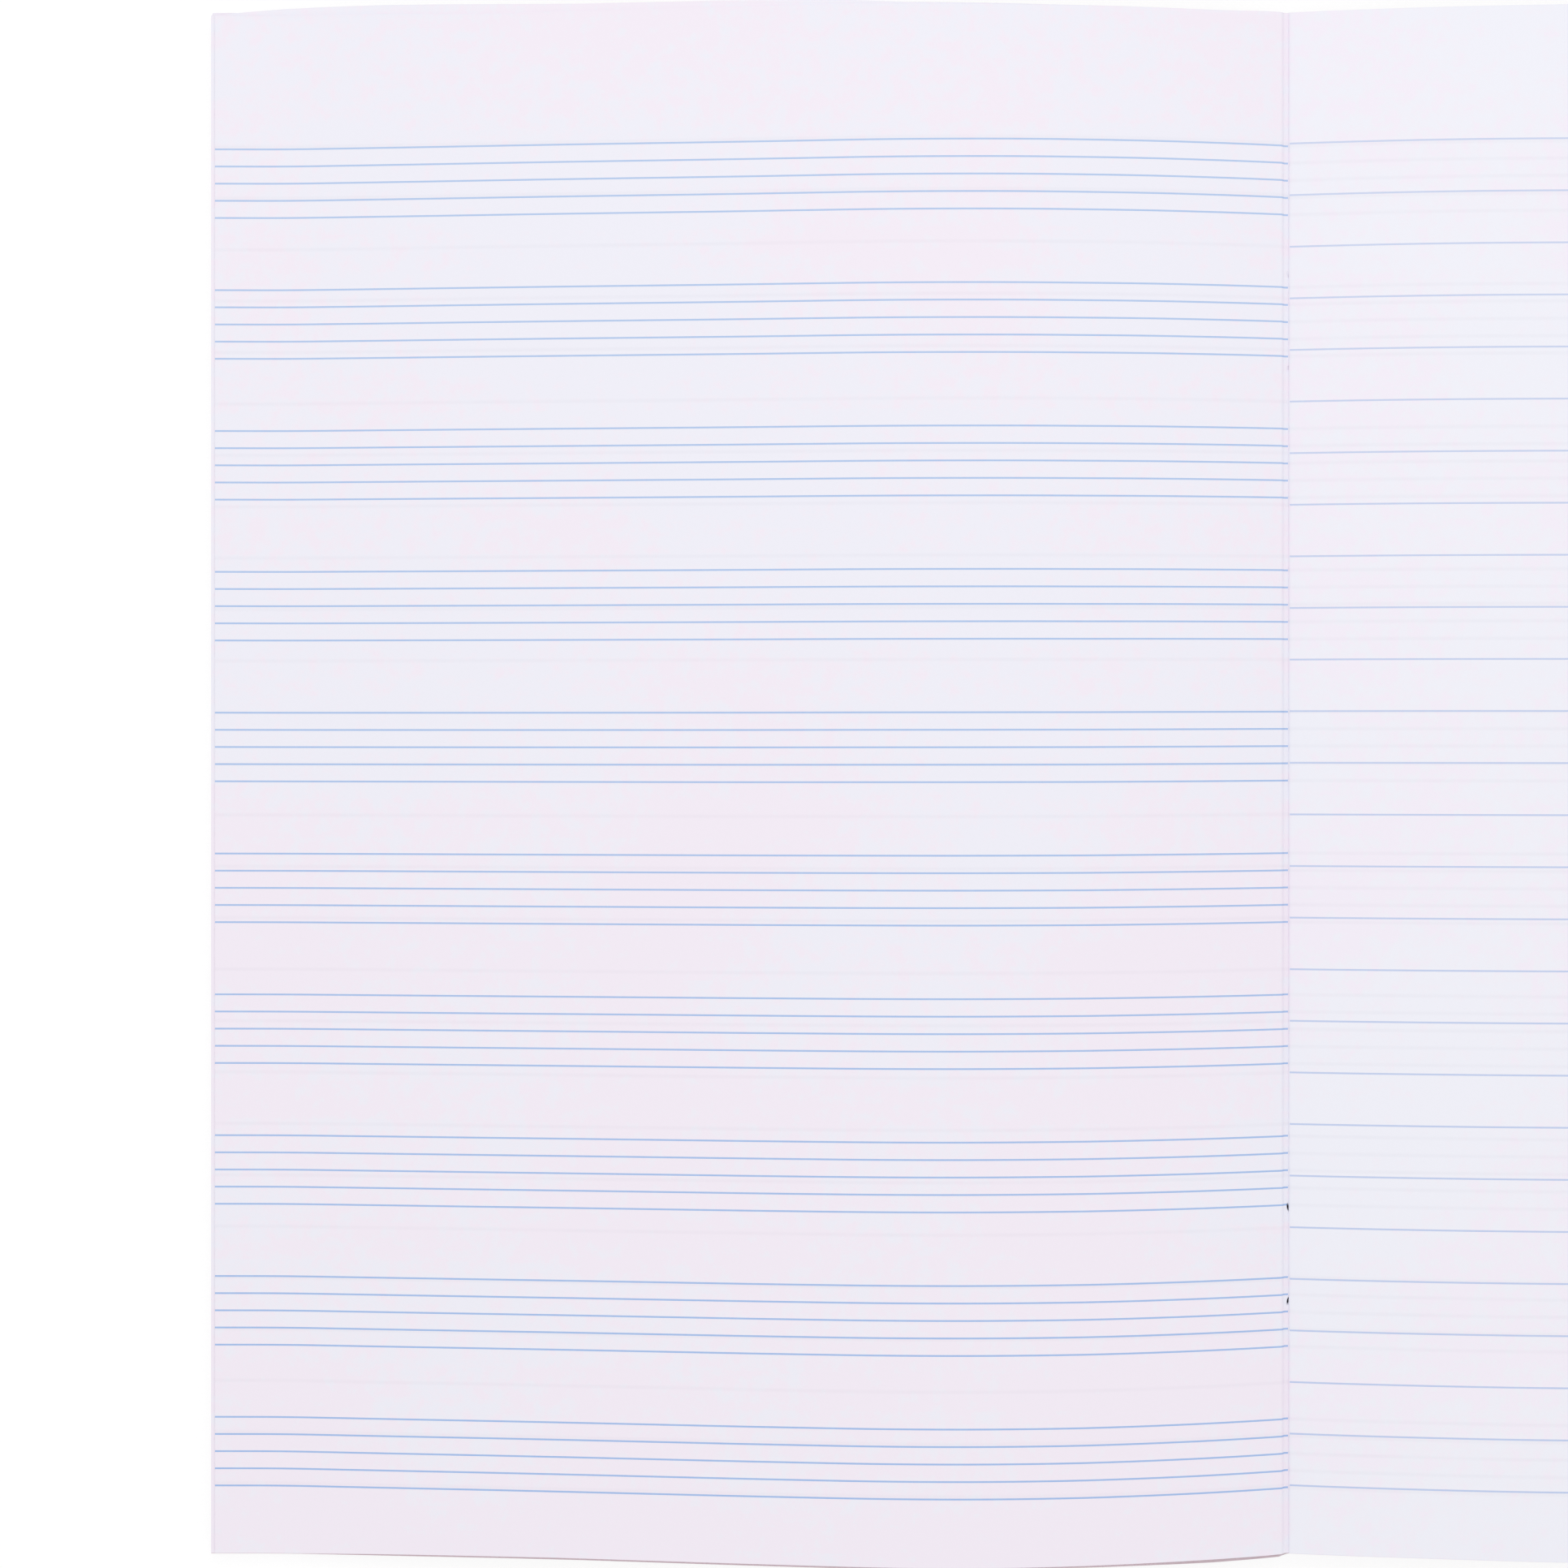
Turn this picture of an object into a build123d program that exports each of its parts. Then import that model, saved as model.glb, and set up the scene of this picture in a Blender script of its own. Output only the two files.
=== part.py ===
"""A5 music notebook lying open: two arched halves of stapled sheets in a card cover.

The fold runs along Y with the head at +Y, the left page is at -X, and the table is at Z = 0.
Every paper surface has the same section: flat at the fore-edge, up to a crest, down into the fold.
"""

import os

from build123d import *

# Sheet sizes
page_height = 210.0
page_reach = 146.2  # from the fold to the fore-edge in plan, which is 148 along the curve
creep = 0.8  # the cover reaches this much further than the innermost leaf

# Thicknesses
cover_thickness = 0.3
leaf_thickness = 0.1
left_leaves = 20
right_leaves = 28
layer_gap = 0.02  # between the cover and the leaves that lie in it

# Arch of each half, at the open page
rest_strip = 6.0  # flat border that lies on the table at the fore-edge
left_crest_distance = 44.0
left_crest_rise = 10.1
right_crest_distance = 46.0
right_crest_rise = 7.0
crest_ease = 9.0  # tangent length of the bend from the crest into the outer slope
foot_ease = 4.0  # tangent length of the bend from the outer slope into the flat border

# Fold
gutter_rise = 2.0  # the gutter above the left page's fore-edge
fold_gap = 0.3  # between the two halves, for the turning fold

# Staples
wire_diameter = 0.5
staple_crown = 12.7
staple_spacing = 127.0
staple_bend = 0.7
clinch_length = 4.6
clinch_offset = 0.6  # the legs lean this far into the right half
wire_clearance = 0.05

# Heights that follow from them
spine_height = wire_diameter
left_edge_height = cover_thickness + left_leaves * leaf_thickness
right_edge_height = cover_thickness + right_leaves * leaf_thickness
gutter_height = left_edge_height + gutter_rise
cover_reach = page_reach + creep
inner_fold = (right_leaves - left_leaves) * leaf_thickness  # folded sheets, all on the right

# Paper surfaces, each given by its reach, its height at the fore-edge and its height at the fold
cover_underside = (cover_reach, 0, spine_height)
cover_inside = (cover_reach, cover_thickness, spine_height + cover_thickness)
outer_leaf = (cover_reach, cover_thickness + layer_gap, spine_height + cover_thickness + layer_gap)
left_open_page = (page_reach, left_edge_height, gutter_height)
right_open_page = (page_reach, right_edge_height, gutter_height + inner_fold)


def surface_line(side, surface):
    """Draws one paper surface in section: fold, crest, outer slope and flat border."""
    reach, edge_height, fold_height = surface
    on_right = side > 0
    crest_distance = right_crest_distance if on_right else left_crest_distance
    crest_rise = right_crest_rise if on_right else left_crest_rise
    foot_distance = page_reach - rest_strip
    fold = Vector(side * fold_gap / 2, fold_height)
    crest = Vector(side * crest_distance, edge_height + crest_rise)
    foot = Vector(side * foot_distance, edge_height)
    outwards = Vector(side, 0)
    slope_top = crest + outwards * crest_ease
    slope_end = foot - outwards * foot_ease
    down_slope = (slope_end - slope_top).normalized()
    slope_start = slope_top + down_slope * crest_ease
    slope_finish = slope_end - down_slope * foot_ease
    TangentArc(crest, fold, tangent=-outwards)
    TangentArc(crest, slope_start, tangent=outwards)
    Line(slope_start, slope_finish)
    TangentArc(foot, slope_finish, tangent=-outwards)
    Line(foot, (side * reach, edge_height))


def layer_outline(side, lower, upper):
    """Draws the section of the card or leaves between two paper surfaces."""
    surface_line(side, lower)
    surface_line(side, upper)
    fold_face = side * fold_gap / 2
    Line((fold_face, lower[2]), (fold_face, upper[2]))
    Line((side * lower[0], lower[1]), (side * upper[0], upper[1]))


def staple_line(tip_clearance):
    """Draws a staple's centre line, from one clinched tip round the crown to the other."""
    leg = (staple_crown - wire_diameter) / 2
    tip = leg - clinch_length - tip_clearance
    FilletPolyline(
        (-tip, leg_length),
        (-leg, leg_length),
        (-leg, 0),
        (leg, 0),
        (leg, leg_length),
        (tip, leg_length),
        radius=staple_bend,
    )


# Each staple lies in a plane that leans from the spine to the middle of the inner fold
lean = Vector(clinch_offset, 0, gutter_height + inner_fold / 2 - wire_diameter)
leg_length = lean.length
staple_planes = [
    Plane(
        origin=(0, staple_y, wire_diameter / 2),
        x_dir=(0, 1, 0),
        z_dir=Vector(0, 1, 0).cross(lean),
    )
    for staple_y in (staple_spacing / 2, -staple_spacing / 2)
]

with BuildPart() as upper_staple:
    with BuildLine(staple_planes[0]) as upper_wire:
        staple_line(0)
    with BuildSketch(Plane(origin=upper_wire.line @ 0, z_dir=upper_wire.line % 0)):
        Circle(wire_diameter / 2)
    sweep()

with BuildPart() as lower_staple:
    with BuildLine(staple_planes[1]) as lower_wire:
        staple_line(0)
    with BuildSketch(Plane(origin=lower_wire.line @ 0, z_dir=lower_wire.line % 0)):
        Circle(wire_diameter / 2)
    sweep()

# The way that both staples take through the sheets
with BuildPart() as staple_ways:
    for staple_plane in staple_planes:
        with BuildSketch(staple_plane):
            with BuildLine():
                staple_line(wire_clearance)
            trace(line_width=wire_diameter + 2 * wire_clearance)
        extrude(amount=wire_diameter / 2 + wire_clearance, both=True)

with BuildPart() as front_cover:
    with BuildSketch(Plane.XZ):
        with BuildLine():
            layer_outline(-1, cover_underside, cover_inside)
        make_face()
    extrude(amount=page_height / 2, both=True)
    add(staple_ways.part, mode=Mode.SUBTRACT)

with BuildPart() as back_cover:
    with BuildSketch(Plane.XZ):
        with BuildLine():
            layer_outline(1, cover_underside, cover_inside)
        make_face()
    extrude(amount=page_height / 2, both=True)
    add(staple_ways.part, mode=Mode.SUBTRACT)

# The leaves of a half creep inwards, from the cover to the open page
with BuildPart() as left_pages:
    with BuildSketch(Plane.XZ):
        with BuildLine():
            layer_outline(-1, outer_leaf, left_open_page)
        make_face()
    extrude(amount=page_height / 2, both=True)
    add(staple_ways.part, mode=Mode.SUBTRACT)

with BuildPart() as right_pages:
    with BuildSketch(Plane.XZ):
        with BuildLine():
            layer_outline(1, outer_leaf, right_open_page)
        make_face()
    extrude(amount=page_height / 2, both=True)
    fold_face = right_pages.faces().sort_by(Axis.X)[0]
    fillet(fold_face.edges().sort_by(Axis.Z)[-1], inner_fold / 2)
    add(staple_ways.part, mode=Mode.SUBTRACT)

front_cover.part.label = "front_cover"
back_cover.part.label = "back_cover"
left_pages.part.label = "left_pages"
right_pages.part.label = "right_pages"
upper_staple.part.label = "upper_staple"
lower_staple.part.label = "lower_staple"

os.makedirs("parts", exist_ok=True)
export_step(front_cover.part, "parts/front_cover.step")
export_step(back_cover.part, "parts/back_cover.step")
export_step(left_pages.part, "parts/left_pages.step")
export_step(right_pages.part, "parts/right_pages.step")
export_step(upper_staple.part, "parts/upper_staple.step")
export_step(lower_staple.part, "parts/lower_staple.step")
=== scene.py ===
"""Looks of the open music notebook: folded sheets nested in a card cover, with staves and ruling.

Lengths are in millimetres until a mesh is made. The fold runs along Y with the head at +Y.
"""

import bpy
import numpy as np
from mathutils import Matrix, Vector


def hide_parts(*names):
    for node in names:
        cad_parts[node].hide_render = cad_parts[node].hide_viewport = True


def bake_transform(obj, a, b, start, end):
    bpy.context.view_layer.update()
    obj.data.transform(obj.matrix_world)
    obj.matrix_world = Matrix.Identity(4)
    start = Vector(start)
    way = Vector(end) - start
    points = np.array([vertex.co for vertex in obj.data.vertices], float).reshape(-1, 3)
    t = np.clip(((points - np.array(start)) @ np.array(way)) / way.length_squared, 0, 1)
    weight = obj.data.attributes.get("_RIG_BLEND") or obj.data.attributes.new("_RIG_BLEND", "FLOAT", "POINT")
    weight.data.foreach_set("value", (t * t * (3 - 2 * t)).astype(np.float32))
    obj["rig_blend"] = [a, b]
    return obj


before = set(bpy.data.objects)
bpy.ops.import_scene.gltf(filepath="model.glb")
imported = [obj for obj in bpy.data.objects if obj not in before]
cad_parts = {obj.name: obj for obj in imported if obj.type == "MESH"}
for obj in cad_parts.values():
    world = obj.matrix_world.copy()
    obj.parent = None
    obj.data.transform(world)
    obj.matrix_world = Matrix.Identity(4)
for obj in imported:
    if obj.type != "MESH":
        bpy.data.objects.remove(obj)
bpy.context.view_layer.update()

import math
import random

import bpy
import numpy as np

MM = 0.001
LEFT = -1
RIGHT = 1

# Paper surfaces, with the sizes of the solids
page_height = 210.0
page_reach = 146.2
creep = 0.8  # the cover reaches this much further than the innermost leaf
cover_reach = page_reach + creep
rest_strip = 6.0
crest_distance = {LEFT: 44.0, RIGHT: 46.0}
crest_rise = {LEFT: 10.1, RIGHT: 7.0}
crest_ease = 9.0
foot_ease = 4.0
spine_height = 0.5
cover_thickness = 0.3
layer_gap = 0.02  # between the cover and the leaves that lie in it
card_thickness = 0.28
sheet_pitch = 0.1
paper_thickness = 0.085
outer_sheets = 20
inner_sheets = 4
gutter_rise = 2.0
left_edge_height = cover_thickness + outer_sheets * sheet_pitch
gutter_height = left_edge_height + gutter_rise
open_gutter = gutter_height + 0.1  # the left page at the fold, from where its crease goes down
fold_softness = 0.3  # how far from the fold a crease is rounded
step_depth = 0.5  # the left page drops by this much just before the crease
step_start = -1.12
step_end = -0.6
crease_depth = 0.55  # and from there by this much, to pass under the folded sheets
crease_start = 0.0
crease_end = 0.35
fold_base = open_gutter - crease_depth  # under the folded sheets
nose_start = 0.05  # where the outermost folded sheet begins
fold_start = (-3 * MM, 0, 0)  # the strip that bends as the notebook closes
fold_end = (3 * MM, 0, 0)

# Leaves that lie unevenly
open_layer = outer_sheets - 1
open_reach = {LEFT: page_reach, RIGHT: page_reach + 0.1}
second_layer = outer_sheets - 2  # the leaf whose fore-edge shows beside the open page
second_reach = {LEFT: page_reach + 0.55, RIGHT: page_reach + 0.3}
leaf_creep = 0.6  # share of the cover's creep
uneven_reach = 0.25
inner_creep = 0.05  # from one folded sheet to the next
wave_sizes = ((0.09, 95.0), (0.05, 52.0))  # height and length
waves_from_fold = 30.0  # how far from the fold they have their full height
waves_from_edge = 40.0  # and how far from the flat border
lift_start = 104.0  # a leaf that stands up at its fore-edge rises from here
lift_end = 146.0

# Print, with its first lines' heights from the middle of the page
line_width = 0.24
stave_first = 86.46
stave_pitch = 19.21
stave_line_step = 2.34
stave_lines = 5
staves = 10
ruling_first = 86.78
ruling_pitch = 7.009
ruled_lines = 27
stave_ys = [
    stave_first - stave * stave_pitch - line * stave_line_step
    for stave in range(staves)
    for line in range(stave_lines)
]
ruling_ys = [ruling_first - line * ruling_pitch for line in range(ruled_lines)]
left_print_end = 0.1  # from the fold
right_print_start = 0.14
rounding = 0.02  # two places this near to each other count as the same

# Staples
wire_radius = 0.25
lower_staple = -64.1
upper_staple = 62.6
leg_offset = 6.3
clinch_length = 4.4
staple_bend = 0.3
pierce_x = 0.3  # where the legs pass the crease
pierce_height = gutter_height + 0.22
clinch_x = 0.95  # where they are clinched, inside the folded sheets
clinch_height = fold_base + 0.45
tip_x = 1.05
tip_height = clinch_height + 0.06
hole_steps = (-0.95, -0.7, -0.54, -0.4, -0.27, -0.14, 0.0, 0.14, 0.27, 0.4, 0.54, 0.7, 0.95)
open_legs = [(lower_staple + side * leg_offset, side) for side in (-1, 1)]
shut_legs = [(upper_staple + side * leg_offset, side) for side in (-1, 1)]
shut_pit = 0.17  # the crease is nearly shut there, so the pits are this share as deep as the open ones
hole_ys = [y + step for y, side in open_legs + shut_legs for step in hole_steps]
hole_x = 0.02
hole_width = 0.21
hole_length = 0.5
hole_slant = 0.28  # the legs lean towards each other, so the holes do too
hole_depth = 0.8  # in the open sheet, and less in the ones under it
hole_depth_step = 0.1
hole_rim = 0.9  # the faces inside it get a painted shade, dark as the shadow in the hole

# Meshes
row_step = 21.0
row_gap = 0.8  # least distance from an even row of points to a printed line
nose_steps = 12
wire_sides = 14
bend_steps = 6
sharp_angle = math.radians(50)  # steeper corners than this stay sharp

# Texture for a bake: strips at its foot for the rims and each print colour, and the sheet above them
bake_margin = 0.02
rim_strip = (0.012, 0.024)
ink_strips = {1: (0.036, 0.048), 2: (0.06, 0.072)}
strips_top = 0.07


# Shapes


def arch_height(distance, side, edge_height, fold_height):
    """Height of a paper surface at a distance from the fold."""
    x = np.asarray(distance, float)
    crest = crest_distance[side]
    rise = crest_rise[side]
    peak = edge_height + rise
    foot = page_reach - rest_strip
    drop = peak - fold_height
    slope_top = crest + crest_ease
    slope_end = foot - foot_ease
    fall = math.atan2(rise, slope_end - slope_top)
    inner_radius = (crest**2 + drop**2) / (2 * drop)
    crest_radius = crest_ease / math.tan(fall / 2)
    foot_radius = foot_ease / math.tan(fall / 2)
    inner = peak - inner_radius + np.sqrt(np.maximum(inner_radius**2 - (crest - x) ** 2, 0))
    outer = peak - crest_radius + np.sqrt(np.maximum(crest_radius**2 - (x - crest) ** 2, 0))
    slope = peak - (x - slope_top) * math.tan(fall)
    bend = edge_height + foot_radius - np.sqrt(np.maximum(foot_radius**2 - (foot - x) ** 2, 0))
    limits = [
        x < crest,
        x < slope_top + crest_ease * math.cos(fall),
        x < slope_end - foot_ease * math.cos(fall),
        x < foot,
    ]
    return np.select(limits, [inner, outer, slope, bend], edge_height)


def spaced(start, end, step):
    """Evenly spaced values from start to end, about a step apart."""
    return np.linspace(start, end, max(2, round(abs(end - start) / step) + 1))


def distances(reach, nearest=0.0, detail=1.0):
    """Distances from the fold at which a sheet has its points, closest together at the fold."""
    ends = [nearest, 1.2, 3.2, 6.0, 60.0, 132.0, reach]
    steps = [0.12, 0.25, 0.9, 4.5, 9.0, 1.6]
    runs = [spaced(start, end, step / detail) for start, end, step in zip(ends, ends[1:], steps)]
    return np.unique(np.round(np.concatenate(runs), 4))


def eased(xs, start, end):
    """0 up to start and 1 beyond end, with an even passage between them."""
    t = np.clip((xs - start) / (end - start), 0, 1)
    return t * t * (3 - 2 * t)


def run_along(xs, zs):
    """Length along a section up to each of its points."""
    return np.concatenate([[0], np.cumsum(np.hypot(np.diff(xs), np.diff(zs)))])


def through_fold(left_reach, right_reach, edge_height, fold_height, depth=0.0, detail=1.0):
    """Section of a sheet from the left fore-edge to the right one. depth is how much of the step and of the
    crease it has beside its fold."""
    left = -distances(left_reach, detail=detail)[::-1]
    right = distances(right_reach, detail=detail)[1:]
    xs = np.concatenate([left, right])
    softened = np.sqrt(xs**2 + fold_softness**2) - fold_softness
    on_left = arch_height(softened, LEFT, edge_height, fold_height)
    on_left -= depth * step_depth * eased(xs, step_start, step_end)
    low_fold = fold_height - depth * (step_depth + crease_depth)
    on_right = arch_height(softened, RIGHT, edge_height, low_fold)
    on_right += depth * crease_depth * (1 - eased(xs, crease_start, crease_end))
    return xs, np.where(xs < 0, on_left, on_right)


def round_nose(reach, lower_edge, upper_edge, lower_fold, upper_fold, nose_x, detail=1.0):
    """Section of a sheet that is folded on the right, round a nose that faces the left page."""
    lower_slope = arch_height([0.5, 1.5], RIGHT, lower_edge, lower_fold)
    lean = math.atan2(lower_slope[1] - lower_slope[0], 1.0)
    radius = (upper_fold - lower_fold) / 2 * math.cos(lean)
    centre_x = nose_x + radius
    lower_x = centre_x + radius * math.sin(lean)
    upper_x = centre_x - radius * math.sin(lean)
    centre_z = float(arch_height(upper_x, RIGHT, upper_edge, upper_fold)) - radius * math.cos(lean)
    lower = distances(reach, lower_x, detail)[::-1]
    upper = distances(reach, upper_x, detail)
    turn = np.radians(np.linspace(-90, -270, nose_steps + 1)[1:-1]) + lean
    xs = np.concatenate([lower, centre_x + radius * np.cos(turn), upper])
    zs = np.concatenate(
        [
            arch_height(lower, RIGHT, lower_edge, lower_fold),
            centre_z + radius * np.sin(turn),
            arch_height(upper, RIGHT, upper_edge, upper_fold),
        ]
    )
    return xs, zs


def bow(xs):
    """How far the left half is bowed along the fold."""
    return np.interp(xs, [-146, -105, -75, -45, -28, -12, 0], [0.0, -0.08, -0.13, -0.13, -0.1, 0.0, 0.1])


def ripple(xs, ys):
    """Slight waves of the sheets, none at the fold."""
    dice = random.Random(2)
    total = np.zeros(np.broadcast(xs, ys).shape)
    for size, length in wave_sizes:
        for _ in range(2):
            angle = dice.uniform(0, math.pi)
            phase = dice.uniform(0, 2 * math.pi)
            along = xs * math.cos(angle) + ys * math.sin(angle)
            total += size * np.sin(along * 2 * math.pi / length + phase)
    off_fold = np.clip(np.abs(xs) / waves_from_fold, 0, 1)
    off_edge = np.clip((page_reach - rest_strip - np.abs(xs)) / waves_from_edge, 0, 1)
    return total * off_fold**1.5 * off_edge


def off_hole(xs, ys, legs):
    """How far a place is from the nearest leg's hole, whose rim is at 1."""
    away = [
        np.hypot(
            (xs - hole_x + hole_slant * side * (ys - leg_y)) / hole_width,
            (ys - leg_y) / hole_length,
        )
        for leg_y, side in legs
    ]
    return np.minimum(*away)


def leaf_trim(xs):
    """How far the leaves' head and tail edges are moved: they are cut in a slight curve."""
    head = np.interp(xs, [-60, -43, -32, -10, -3, 0, 20, 60], [0, -0.35, -0.55, -0.6, -0.42, -0.42, -0.3, 0])
    places = [-135, -122, -98, -70, -50, -40, -20, -3, 0, 20, 60]
    tail = np.interp(xs, places, [0, 0.18, 0.26, 0.1, 0, 0, 0.12, 0.22, 0.3, 0.3, 0])
    return head, tail


def edge_lift(xs, amount):
    """How far the fore-edge of a leaf stands up from the leaves under it."""
    return amount * np.clip((np.abs(xs) - lift_start) / (lift_end - lift_start), 0, 1) ** 2


def row_ys(line_ys=(), step=row_step, pierced=False):
    """Heights on the page at which a sheet has its points: both sides of each line, and even ones."""
    ys = [-page_height / 2, page_height / 2]
    for y in line_ys:
        ys += [y - line_width / 2, y + line_width / 2]
    if pierced:
        ys += [y for y in hole_ys if min(abs(y - other) for other in ys) > line_width / 2]
    for y in spaced(-page_height / 2, page_height / 2, step):
        if min(abs(y - other) for other in ys) > row_gap:
            ys.append(y)
    return np.array(sorted(ys))


def new_object(name, points, faces, materials):
    """Makes a smooth object from points in millimetres, with sharp edges at its corners."""
    mesh = bpy.data.meshes.new(name)
    mesh.from_pydata((np.array(points) * MM).tolist(), [], faces)
    for material in materials:
        mesh.materials.append(material)
    mesh.update()
    mesh.shade_smooth()
    mesh.set_sharp_from_angle(angle=sharp_angle)
    obj = bpy.data.objects.new(name, mesh)
    bpy.context.scene.collection.objects.link(obj)
    return obj


def in_turn(*groups):
    """Faces from groups that each give their four corners as arrays, one face of each group in turn."""
    return np.stack([np.stack(corners, -1) for corners in groups], -2).reshape(-1, 4)


class Sheets:
    """Gathers thin closed sheets into one mesh."""

    def __init__(self):
        self.points = []
        self.faces = []
        self.slots = []
        self.flat = []
        self.texture = []
        self.count = 0

    def add(self, section, ys, thickness, shift=0.0, turn=0.0, lift=0.0, inked=None, trim=leaf_trim, pit=0.0):
        """Adds a sheet. shift and turn move it along the fold, lift raises its fore-edges, inked gives a
        face's material, trim moves its head and tail edges, and pit is how far the legs press it in."""
        xs, zs = section
        grid_x = np.repeat(xs[:, None], len(ys), axis=1)
        grid_y = np.repeat(ys[None, :], len(xs), axis=0)
        grid_z = zs[:, None] + ripple(grid_x, grid_y) + edge_lift(grid_x, lift)
        for legs, press in ((open_legs, pit), (shut_legs, pit * shut_pit)):
            grid_z = grid_z - press * np.exp(-(off_hole(grid_x, grid_y, legs) ** 4))
        moved_y = grid_y + shift + turn * grid_x + bow(grid_x)
        head, tail = trim(xs)
        moved_y[:, -1] += head
        moved_y[:, 0] += tail

        tangent_x = np.gradient(xs)[:, None]
        tangent_z = np.gradient(zs)[:, None]
        half = thickness / 2 / np.hypot(tangent_x, tangent_z)
        for side in (half, -half):
            points = [grid_x - tangent_z * side, moved_y, grid_z + tangent_x * side]
            self.points.append(np.stack(points, -1).reshape(-1, 3))
        self.add_faces(xs, ys, run_along(xs, zs), inked)

    def add_faces(self, xs, ys, run, inked):
        """Adds the faces of the sheet whose points came last. Its two sides have the points a and b."""
        columns = len(xs)
        rows = len(ys)
        a = self.count + np.arange(columns * rows).reshape(columns, rows)
        b = a + columns * rows
        sides = in_turn(
            [a[:-1, :-1], a[1:, :-1], a[1:, 1:], a[:-1, 1:]],
            [b[:-1, :-1], b[:-1, 1:], b[1:, 1:], b[1:, :-1]],
        )
        fore_edges = in_turn(
            [a[0, :-1], a[0, 1:], b[0, 1:], b[0, :-1]],
            [a[-1, :-1], b[-1, :-1], b[-1, 1:], a[-1, 1:]],
        )
        ends = in_turn(
            [a[:-1, 0], b[:-1, 0], b[1:, 0], a[1:, 0]],
            [a[:-1, -1], a[1:, -1], b[1:, -1], b[:-1, -1]],
        )
        faces = np.concatenate([sides, fore_edges, ends])
        ink = np.zeros((len(faces), 1), int)
        if inked:
            ink[: len(sides) : 2, 0] = [
                inked(x0, x1, y0, y1) for x0, x1 in zip(xs, xs[1:]) for y0, y1 in zip(ys, ys[1:])
            ]
        on_b, place = np.divmod(faces - self.count, columns * rows)
        x = run[place // rows]
        y = ys[place % rows]

        # On the texture both sides share one place, and the rims and each print colour have strips of their
        # own, so that thin lines stay sharp
        kind = np.repeat(["side", "fore-edge", "end"], [len(sides), len(fore_edges), len(ends)])[:, None]
        along = bake_margin + (1 - 2 * bake_margin) * x / run[-1]
        up = bake_margin + (1 - 2 * bake_margin) * (y / page_height + 0.5)
        u = np.where(kind == "fore-edge", up, along)
        v = np.where(on_b, rim_strip[1], rim_strip[0])
        v = np.where(kind == "side", strips_top + (1 - strips_top) * up, v)
        for slot, (low, high) in ink_strips.items():
            v = np.where(ink == slot, np.where(y > y.min(axis=1, keepdims=True), high, low), v)

        self.faces += faces.tolist()
        self.slots += ink[:, 0].tolist()
        self.flat.append(np.stack([x, y], -1).reshape(-1, 2))
        self.texture.append(np.stack([u, v], -1).reshape(-1, 2))
        self.count += 2 * columns * rows

    def make(self, name, materials):
        """Makes the object, with one UV map for the flat sheet in metres and one for a baked texture."""
        obj = new_object(name, np.concatenate(self.points), self.faces, materials)
        obj.data.polygons.foreach_set("material_index", np.array(self.slots, np.int32))
        for map_name, places, scale in (("Sheet", self.flat, MM), ("OFBake", self.texture, 1.0)):
            layer = obj.data.uv_layers.new(name=map_name)
            layer.data.foreach_set("uv", (np.concatenate(places).astype(np.float32) * scale).ravel())
        obj.data.uv_layers.active_index = 0
        obj.data.update()
        return obj


def wire(name, path, radius, material, sides=wire_sides):
    """Makes a closed round wire along a path of points."""
    points = np.array(path, float)
    tangents = np.gradient(points, axis=0)
    tangents /= np.linalg.norm(tangents, axis=1)[:, None]
    across = np.array([1.0, 0.0, 0.0])
    vertices = []
    faces = []
    for point, tangent in zip(points, tangents):
        across = across - tangent * across.dot(tangent)
        across /= np.linalg.norm(across)
        upward = np.cross(tangent, across)
        for side in range(sides):
            angle = 2 * math.pi * side / sides
            vertices.append(point + radius * (across * math.cos(angle) + upward * math.sin(angle)))
    for ring in range(len(points) - 1):
        for side in range(sides):
            after = (side + 1) % sides
            low = ring * sides
            high = low + sides
            faces.append([low + side, low + after, high + after, high + side])
    faces.append(list(range(sides))[::-1])
    faces.append([len(vertices) - sides + side for side in range(sides)])
    return new_object(name, vertices, faces, [material])


def rounded(corners, radius, steps=bend_steps):
    """Points of a line through the corners, each rounded with an arc-like bend."""
    corners = [np.array(c, float) for c in corners]
    line = [corners[0]]
    for before, corner, after in zip(corners, corners[1:], corners[2:]):
        enter = corner + (before - corner) / np.linalg.norm(before - corner) * radius
        leave = corner + (after - corner) / np.linalg.norm(after - corner) * radius
        for t in np.linspace(0, 1, steps + 1):
            line.append(enter * (1 - t) ** 2 + corner * 2 * t * (1 - t) + leave * t**2)
    line.append(corners[-1])
    return line


# Materials


def srgb(red, green, blue):
    """Linear colour of an 8-bit colour."""
    return tuple(
        (c / 255 / 12.92 if c / 255 <= 0.04045 else ((c / 255 + 0.055) / 1.055) ** 2.4)
        for c in (red, green, blue)
    ) + (1.0,)


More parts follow.
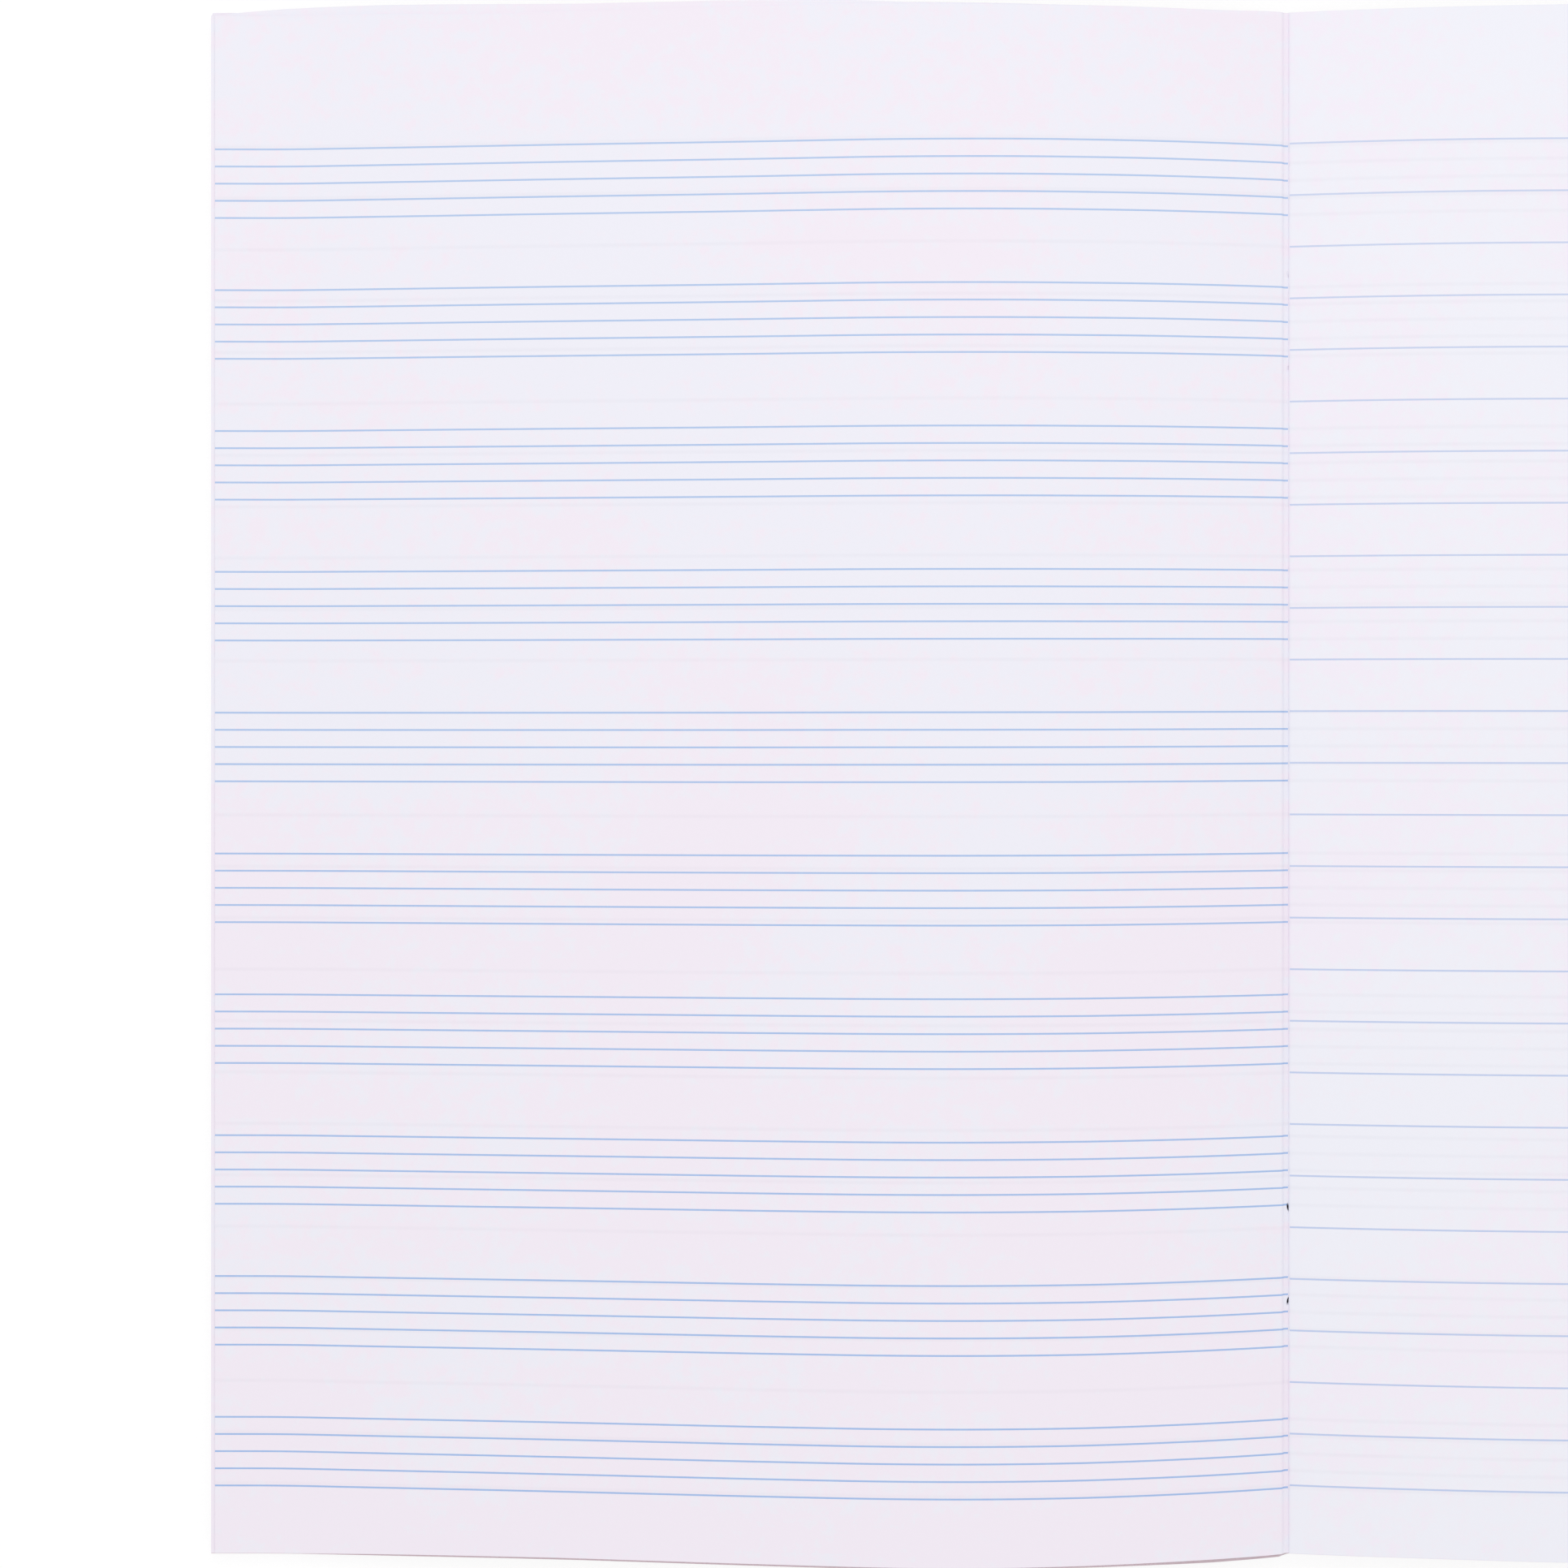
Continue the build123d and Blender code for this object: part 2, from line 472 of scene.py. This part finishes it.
class Nodes:
    """Short ways to add and join the nodes of a material or a world."""

    def __init__(self, owner):
        owner.use_nodes = True
        self.tree = owner.node_tree
        self.shader = self.tree.nodes.get("Principled BSDF")

    def link(self, source, target):
        self.tree.links.new(source, target)

    def add(self, kind, **settings):
        node = self.tree.nodes.new(kind)
        for key, value in settings.items():
            setattr(node, key, value)
        return node

    def flat_place(self, scale=(1, 1, 1)):
        """The place on the flat sheet, scaled in each direction."""
        uv = self.add("ShaderNodeUVMap", uv_map="Sheet")
        return self.scaled(uv.outputs["UV"], scale)

    def scaled(self, place, scale):
        mapping = self.add("ShaderNodeMapping")
        mapping.inputs["Scale"].default_value = scale
        self.link(place, mapping.inputs["Vector"])
        return mapping.outputs["Vector"]

    def split(self, place, axis):
        node = self.add("ShaderNodeSeparateXYZ")
        self.link(place, node.inputs["Vector"])
        return node.outputs[axis]

    def noise(self, place, scale, detail=3.0, roughness=0.5):
        node = self.add("ShaderNodeTexNoise")
        node.inputs["Scale"].default_value = scale
        node.inputs["Detail"].default_value = detail
        node.inputs["Roughness"].default_value = roughness
        self.link(place, node.inputs["Vector"])
        return node.outputs["Fac"]

    def math(self, operation, first, second=None, third=None):
        node = self.add("ShaderNodeMath", operation=operation)
        for socket, value in zip(node.inputs, (first, second, third)):
            if value is None:
                continue
            if isinstance(value, (int, float)):
                socket.default_value = value
            else:
                self.link(value, socket)
        return node.outputs["Value"]

    def ramp(self, fac, stops):
        node = self.add("ShaderNodeValToRGB")
        elements = node.color_ramp.elements
        elements[0].position, elements[0].color = stops[0]
        elements[1].position, elements[1].color = stops[-1]
        for position, color in stops[1:-1]:
            elements.new(position).color = color
        self.link(fac, node.inputs["Fac"])
        return node.outputs["Color"]

    def mix(self, blend, fac, first, second):
        """Mixes two colours. The node has sockets of one name for each data type, so they go by number."""
        node = self.add("ShaderNodeMix", data_type="RGBA", blend_type=blend)
        for socket, value in ((node.inputs[0], fac), (node.inputs[6], first), (node.inputs[7], second)):
            if isinstance(value, (int, float, tuple)):
                socket.default_value = value
            else:
                self.link(value, socket)
        return node.outputs[2]

    def spread(self, value, low, high):
        """Maps 0 to 1 onto low to high."""
        return self.math("MULTIPLY_ADD", value, high - low, low)

    def fade(self, value, none, full):
        """Rises evenly from 0 where the value is none to 1 where it is full."""
        node = self.add("ShaderNodeMapRange", interpolation_type="SMOOTHSTEP")
        node.inputs["From Min"].default_value = none
        node.inputs["From Max"].default_value = full
        self.link(value, node.inputs["Value"])
        return node.outputs["Result"]

    def bump(self, height, strength, distance):
        node = self.add("ShaderNodeBump")
        node.inputs["Strength"].default_value = strength
        node.inputs["Distance"].default_value = distance
        self.link(height, node.inputs["Height"])
        self.link(node.outputs["Normal"], self.shader.inputs["Normal"])

    def seen_directly(self):
        """1 for what the camera sees, also by a reflection or through glass, and 0 for the light it gives."""
        path = self.add("ShaderNodeLightPath")
        seen = self.math("MAXIMUM", path.outputs["Is Camera Ray"], path.outputs["Is Glossy Ray"])
        return self.math("MAXIMUM", seen, path.outputs["Is Transmission Ray"])


def paper_tone(nodes, place, up, tones, warm_ends, staved):
    """Colour of blank paper, in patches that are a little warmer or cooler, and cooler among staves."""
    zones = nodes.noise(place, 22.0, 2.0)
    cloud = nodes.noise(place, 420.0, 3.0, 0.6)
    warmth = nodes.math("MULTIPLY_ADD", zones, 0.5, nodes.math("MULTIPLY", cloud, 0.5))
    coolest_up, rise = warm_ends
    from_coolest = nodes.math("ABSOLUTE", nodes.math("SUBTRACT", up, coolest_up))
    warmth = nodes.math("MULTIPLY_ADD", from_coolest, rise, warmth)
    if staved:
        down = nodes.math("SUBTRACT", (stave_first + stave_line_step) * MM, up)
        down_stave = nodes.math("FLOORED_MODULO", down, stave_pitch * MM)
        in_stave = nodes.math("LESS_THAN", down_stave, (stave_lines + 1) * stave_line_step * MM)
        below_first = nodes.math("GREATER_THAN", down, 0.0)
        warmth = nodes.math("MULTIPLY_ADD", nodes.math("MULTIPLY", in_stave, below_first), -0.03, warmth)
    color = nodes.ramp(warmth, list(zip((0.46, 0.52, 0.57), tones)))
    speckle = nodes.noise(place, 1400.0, 2.0, 0.6)
    return nodes.mix("MULTIPLY", nodes.spread(speckle, 0.0, 0.05), color, (0.9, 0.9, 0.92, 1))


def shine_through(nodes, place, up, color, first, pitch, groups, lines, step):
    """Darkens the paper faintly where the other side has its printed lines."""
    down = nodes.math("SUBTRACT", (first + step / 2) * MM, up)
    in_group = nodes.math("FLOORED_MODULO", down, pitch * MM)
    off_line = nodes.math("PINGPONG", nodes.math("ADD", in_group, step / 2 * MM), step / 2 * MM)
    in_lines = nodes.math("LESS_THAN", in_group, lines * step * MM)
    below_first = nodes.math("GREATER_THAN", down, 0.0)
    above_last = nodes.math("LESS_THAN", down, groups * pitch * MM)
    printed = nodes.math("MULTIPLY", in_lines, nodes.math("MULTIPLY", below_first, above_last))
    uneven = nodes.spread(nodes.noise(place, 160.0), 0.028, 0.112)
    shade = nodes.math("MULTIPLY", nodes.fade(off_line, 0.4 * MM, 0.05 * MM), printed)
    return nodes.mix("MULTIPLY", nodes.math("MULTIPLY", shade, uneven), color, (0.6, 0.6, 0.66, 1))


def paper_material(name, tones, warm_ends=(0.05, 0.6), staved=False, behind=None, ink=None):
    """Uncoated writing paper, or its printed lines when ink gives their colours at head and tail.
    warm_ends says at which height the page is coolest and how fast it gets warmer from there."""
    material = bpy.data.materials.new(name)
    nodes = Nodes(material)
    place = nodes.flat_place()
    up = nodes.split(place, "Y")
    color = paper_tone(nodes, place, up, tones, warm_ends, staved)
    if behind:
        color = shine_through(nodes, place, up, color, **behind)
    if ink:
        worn = nodes.spread(nodes.noise(place, 420.0, 4.0, 0.7), 0.86, 1.1)
        down_page = nodes.math("MULTIPLY_ADD", up, -1 / (page_height * MM), 0.5)
        color = nodes.mix("MIX", nodes.math("MINIMUM", worn, 1.0), color, nodes.mix("MIX", down_page, *ink))
    nodes.link(color, nodes.shader.inputs["Base Color"])
    rough = nodes.spread(nodes.noise(place, 900.0), 0.62, 0.82)
    nodes.link(rough, nodes.shader.inputs["Roughness"])
    nodes.shader.inputs["Specular IOR Level"].default_value = 0.2
    fibres = nodes.noise(nodes.flat_place((1.0, 0.45, 1.0)), 2600.0, 4.0, 0.65)
    nodes.bump(fibres, 0.25, 0.02 * MM)
    return material


def card_material(name, fold_run):
    """Plain matte card with fine fibres. Its fold, at fold_run on the flat sheet, is rubbed paler."""
    material = bpy.data.materials.new(name)
    nodes = Nodes(material)
    place = nodes.flat_place()
    cloud = nodes.noise(place, 130.0, 5.0, 0.68)
    tones = (srgb(218, 199, 205), srgb(220, 201, 207), srgb(222, 204, 209))
    color = nodes.ramp(cloud, list(zip((0.3, 0.5, 0.7), tones)))
    fibres = nodes.noise(nodes.flat_place((1.0, 0.3, 1.0)), 1100.0, 4.0, 0.7)
    color = nodes.mix("MULTIPLY", nodes.spread(fibres, 0.0, 0.22), color, (0.74, 0.68, 0.7, 1))
    off_fold = nodes.math("ABSOLUTE", nodes.math("SUBTRACT", nodes.split(place, "X"), fold_run * MM))
    scuffs = nodes.spread(nodes.noise(nodes.flat_place((2.5, 1.0, 1.0)), 500.0, 4.0, 0.7), -0.35, 1.15)
    scuffs = nodes.math("MAXIMUM", scuffs, 0.0)
    wear = nodes.math("MULTIPLY", nodes.fade(off_fold, 1.5 * MM, 0.2 * MM), scuffs)
    color = nodes.mix("MIX", wear, color, srgb(238, 230, 232))
    nodes.link(color, nodes.shader.inputs["Base Color"])
    nodes.link(nodes.spread(fibres, 0.6, 0.85), nodes.shader.inputs["Roughness"])
    nodes.shader.inputs["Specular IOR Level"].default_value = 0.25
    nodes.bump(fibres, 0.35, 0.04 * MM)
    return material


def steel_material(name):
    """Bright drawn wire with fine scratches."""
    material = bpy.data.materials.new(name)
    nodes = Nodes(material)
    coordinates = nodes.add("ShaderNodeTexCoord")
    place = nodes.scaled(coordinates.outputs["Object"], (1, 0.12, 1))
    scratches = nodes.noise(place, 9000.0, 3.0, 0.6)
    color = nodes.ramp(scratches, [(0.3, srgb(170, 172, 177)), (0.7, srgb(208, 210, 215))])
    nodes.link(color, nodes.shader.inputs["Base Color"])
    nodes.link(nodes.spread(scratches, 0.22, 0.4), nodes.shader.inputs["Roughness"])
    nodes.shader.inputs["Metallic"].default_value = 1.0
    nodes.bump(scratches, 0.2, 0.01 * MM)
    return material


ruling_behind = {
    "first": ruling_first,
    "pitch": ruling_pitch,
    "groups": ruled_lines,
    "lines": 1,
    "step": ruling_pitch,
}
staves_behind = {
    "first": stave_first,
    "pitch": stave_pitch,
    "groups": staves,
    "lines": stave_lines,
    "step": stave_line_step,
}
even_ends = (0.0, 0.0)
paper_tones = (srgb(239, 238, 247), srgb(241, 237, 246), srgb(243, 235, 245))
cool_tones = (srgb(240, 240, 248), srgb(241, 239, 247), srgb(243, 237, 247))
# Painted shade: a dark paper colour for the faces inside the staple holes, standing in for the shadow deep in
# the holes
hole_shade_tones = (srgb(66, 61, 70), srgb(72, 66, 76), srgb(84, 77, 87))
stave_blues = (srgb(182, 203, 235), srgb(161, 189, 232))
ruling_blues = (srgb(204, 213, 237), srgb(190, 204, 235))
stave_paper = paper_material("stave_paper", paper_tones, staved=True, behind=ruling_behind)
ruled_paper = paper_material("ruled_paper", cool_tones, even_ends, behind=staves_behind)
plain_paper = paper_material("plain_paper", paper_tones)
stave_ink = paper_material("stave_ink", paper_tones, ink=stave_blues)
ruling_ink = paper_material("ruling_ink", cool_tones, even_ends, ink=ruling_blues)
hole_shade_paper = paper_material("hole_shade_paper", hole_shade_tones)
cover_bottom = cover_thickness / 2
cover_section = through_fold(cover_reach, cover_reach, cover_bottom, spine_height + cover_bottom)
cover_card = card_material("cover_card", np.interp(0, cover_section[0], run_along(*cover_section)))
staple_steel = steel_material("staple_steel")


# Cover


def cover_trim(xs):
    """The cover reaches out a little under the pages at the tail, most beside the fold."""
    places = [-147, -135, -105, -98, -60, -50, -32, -20, -10, -3, -1, 0.6, 3, 40, 60, 147]
    reaches = [0.44, 0.44, 0.36, 0.34, 0.58, 0.65, 0.57, 0.67, 0.85, 0.85, 0.84, 0.4, 0.0, -0.05, 0.2, 0.2]
    return leaf_trim(xs)[0], -np.interp(xs, places, reaches)


cover = Sheets()
cover.add(cover_section, row_ys(step=15.0), card_thickness, trim=cover_trim)
cover = cover.make("cover", [cover_card])
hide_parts("front_cover", "back_cover")


# Leaves that lie under the open page


def outer_section(layer, left_reach, right_reach, detail=1.0):
    """Section of one of the sheets nested in the cover, counted from the cover."""
    edge = cover_thickness + (layer + 0.5) * sheet_pitch
    low_fold = spine_height + cover_thickness + layer_gap
    fold = low_fold + (layer + 0.5) / outer_sheets * (open_gutter + step_depth - low_fold)
    return through_fold(left_reach, right_reach, edge, fold, (layer + 1) / outer_sheets, detail)


def layer_pit(layer):
    """How far a sheet is pressed in at the staple legs."""
    return max(0.0, hole_depth - hole_depth_step * (open_layer - layer))


def second_trim(xs):
    """The second leaf shows at the head too, where the open page is cut short."""
    head, tail = leaf_trim(xs)
    places = [-147, -142, -137, -130, -120, -109, -98, -76, -62, -50, 0]
    head = head + np.interp(xs, places, [-0.3, 0.2, 0.6, 0.86, 0.92, 0.72, 0.48, 0.55, 0.3, 0, 0])
    return head, tail


dice = random.Random(11)
lower_sheets = Sheets()
for layer in range(second_layer):
    crept = page_reach + creep * (1 - layer / outer_sheets) * leaf_creep
    lower_sheets.add(
        outer_section(
            layer,
            crept + dice.uniform(0.0, uneven_reach),
            crept + dice.uniform(0.0, uneven_reach),
            detail=0.8,
        ),
        row_ys(step=30.0, pierced=layer_pit(layer) > 0),
        paper_thickness,
        shift=dice.uniform(-0.12, 0.12),
        turn=dice.uniform(-0.0012, 0.0004),
        pit=layer_pit(layer),
    )
lower_sheets = lower_sheets.make("lower_sheets", [plain_paper])
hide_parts("left_pages", "right_pages")

second_sheet = Sheets()
second_sheet.add(
    outer_section(second_layer, second_reach[LEFT], second_reach[RIGHT]),
    row_ys(pierced=True),
    paper_thickness,
    lift=0.05,
    trim=second_trim,
    pit=layer_pit(second_layer),
)
second_sheet = second_sheet.make("second_sheet", [plain_paper])


# Open pages


def stave_inked(x0, x1, y0, y1):
    """Gives the material of a face of the left page: 0 for paper, 1 for ink, 2 for the painted shade inside a
    pierced hole.
    """
    middle = (y0 + y1) / 2
    # Faces inside a leg's hole get the painted shade of the hole
    if abs(x0) < 1 and off_hole((x0 + x1) / 2, middle, open_legs) < hole_rim:
        return 2
    if max(x0, x1) > rounding - left_print_end or y1 - y0 > line_width + rounding:
        return 0
    return int(min(abs(middle - y) for y in stave_ys) < rounding)


def ruling_inked(x0, x1, y0, y1):
    """Gives the material of a face of the right page: 0 for paper and its under side, 1 for ink."""
    if min(x0, x1) < right_print_start or x1 < x0 or y1 - y0 > line_width + rounding:
        return 0
    middle = (y0 + y1) / 2
    return int(min(abs(middle - y) for y in ruling_ys) < rounding)


def open_trim(xs):
    """The open page ends a little short at the head."""
    head, tail = leaf_trim(xs)
    places = [-147, -125, -116, -109, -98, -76, -50, -30, 0]
    head = head + np.interp(xs, places, [-0.3, -0.3, -0.4, -0.7, -0.45, -0.35, -0.2, 0, 0])
    return head, tail


def inner_section(layer, detail=1.0):
    """Section of one of the sheets folded on the right, counted inwards from the open page."""
    lower = (layer + 0.5) * sheet_pitch
    upper = (2 * inner_sheets - layer - 0.5) * sheet_pitch
    return round_nose(
        page_reach - inner_creep * layer,
        left_edge_height + lower,
        left_edge_height + upper,
        fold_base + lower,
        fold_base + upper,
        nose_start + layer * sheet_pitch,
        detail,
    )


open_sheet = Sheets()
open_sheet.add(
    outer_section(open_layer, open_reach[LEFT], open_reach[RIGHT], detail=1.4),
    row_ys(stave_ys, pierced=True),
    paper_thickness,
    lift=0.09,
    inked=stave_inked,
    trim=open_trim,
    pit=layer_pit(open_layer),
)
open_sheet = open_sheet.make("open_sheet", [stave_paper, stave_ink, hole_shade_paper])

folded_sheets = Sheets()
for layer in range(1, inner_sheets):
    folded_sheets.add(
        inner_section(layer, detail=0.8),
        row_ys(step=30.0),
        paper_thickness,
        shift=dice.uniform(-0.1, 0.1),
        turn=dice.uniform(-0.0025, -0.0015),
    )
folded_sheets = folded_sheets.make("folded_sheets", [plain_paper])

ruled_sheet = Sheets()
ruled_sheet.add(
    inner_section(0, detail=1.2),
    row_ys(ruling_ys),
    paper_thickness,
    turn=-0.002,
    inked=ruling_inked,
)
ruled_sheet = ruled_sheet.make("ruled_sheet", [ruled_paper, ruling_ink])


# Staples


def staple_path(middle_y):
    """Centre line of a staple: tip, leg, crown under the spine, leg and tip."""
    tailward = middle_y - leg_offset
    headward = middle_y + leg_offset
    corners = [
        (tip_x, tailward + clinch_length, tip_height),
        (clinch_x, tailward, clinch_height),
        (pierce_x, tailward, pierce_height),
        (0.0, tailward, wire_radius),
        (0.0, headward, wire_radius),
        (pierce_x, headward, pierce_height),
        (clinch_x, headward, clinch_height),
        (tip_x, headward - clinch_length, tip_height),
    ]
    return rounded(corners, staple_bend)


for name, middle_y in (("upper", upper_staple), ("lower", lower_staple)):
    staple = wire(name + "_staple_wire", staple_path(middle_y), wire_radius, staple_steel)
    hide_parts(name + "_staple")
    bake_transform(staple, "left_half", "right_half", fold_start, fold_end)

for piece in (cover, lower_sheets, second_sheet, open_sheet, folded_sheets, ruled_sheet):
    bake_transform(piece, "left_half", "right_half", fold_start, fold_end)

# Floor, which is seen white but keeps the notebook's shadow

floor_reach = 4.0
floor_material = bpy.data.materials.new("floor")
floor_nodes = Nodes(floor_material)
floor_nodes.shader.inputs["Base Color"].default_value = (0.97, 0.97, 0.97, 1)
floor_nodes.shader.inputs["Roughness"].default_value = 0.9
floor_nodes.shader.inputs["Specular IOR Level"].default_value = 0.1
glow = floor_nodes.add("ShaderNodeEmission")
glow.inputs["Strength"].default_value = 1.03
glow_share = floor_nodes.math("MULTIPLY", floor_nodes.seen_directly(), 0.8)
floor_mix = floor_nodes.add("ShaderNodeMixShader")
floor_nodes.link(glow_share, floor_mix.inputs["Fac"])
floor_nodes.link(floor_nodes.shader.outputs["BSDF"], floor_mix.inputs[1])
floor_nodes.link(glow.outputs["Emission"], floor_mix.inputs[2])
floor_nodes.link(floor_mix.outputs["Shader"], floor_nodes.tree.nodes["Material Output"].inputs["Surface"])

floor_mesh = bpy.data.meshes.new("floor")
floor_corners = [(x * floor_reach, y * floor_reach, 0) for x, y in ((-1, -1), (1, -1), (1, 1), (-1, 1))]
floor_mesh.from_pydata(floor_corners, [], [(0, 1, 2, 3)])
floor_mesh.materials.append(floor_material)
floor = bpy.data.objects.new("floor", floor_mesh)
bpy.context.scene.collection.objects.link(floor)

# Light and camera

sky_level = 0.885
world = bpy.data.worlds.new("studio")
world_nodes = Nodes(world)
background = world_nodes.tree.nodes["Background"]
background.inputs["Color"].default_value = (1, 1, 1, 1)
sky_strength = world_nodes.spread(world_nodes.seen_directly(), sky_level, 1.0)
world_nodes.link(sky_strength, background.inputs["Strength"])
bpy.context.scene.world = world

key_light = bpy.data.lights.new("key", "AREA")
key_light.shape = "DISK"
key_light.size = 0.5
key_light.energy = 0.85
key = bpy.data.objects.new("key", key_light)
key.location = (-0.04, 0.44, 0.6)
key.rotation_euler = (-key.location).to_track_quat("-Z", "Y").to_euler()
bpy.context.scene.collection.objects.link(key)

camera_data = bpy.data.cameras.new("camera")
camera_data.sensor_width = 36.0
camera_data.lens = 92.56
camera_data.clip_start = 0.05
camera_data.clip_end = 20.0
camera = bpy.data.objects.new("camera", camera_data)
camera.location = (-68.58 * MM, -0.11 * MM, 552.3 * MM)
bpy.context.scene.collection.objects.link(camera)
bpy.context.scene.camera = camera

bpy.context.scene.view_settings.view_transform = "Standard"
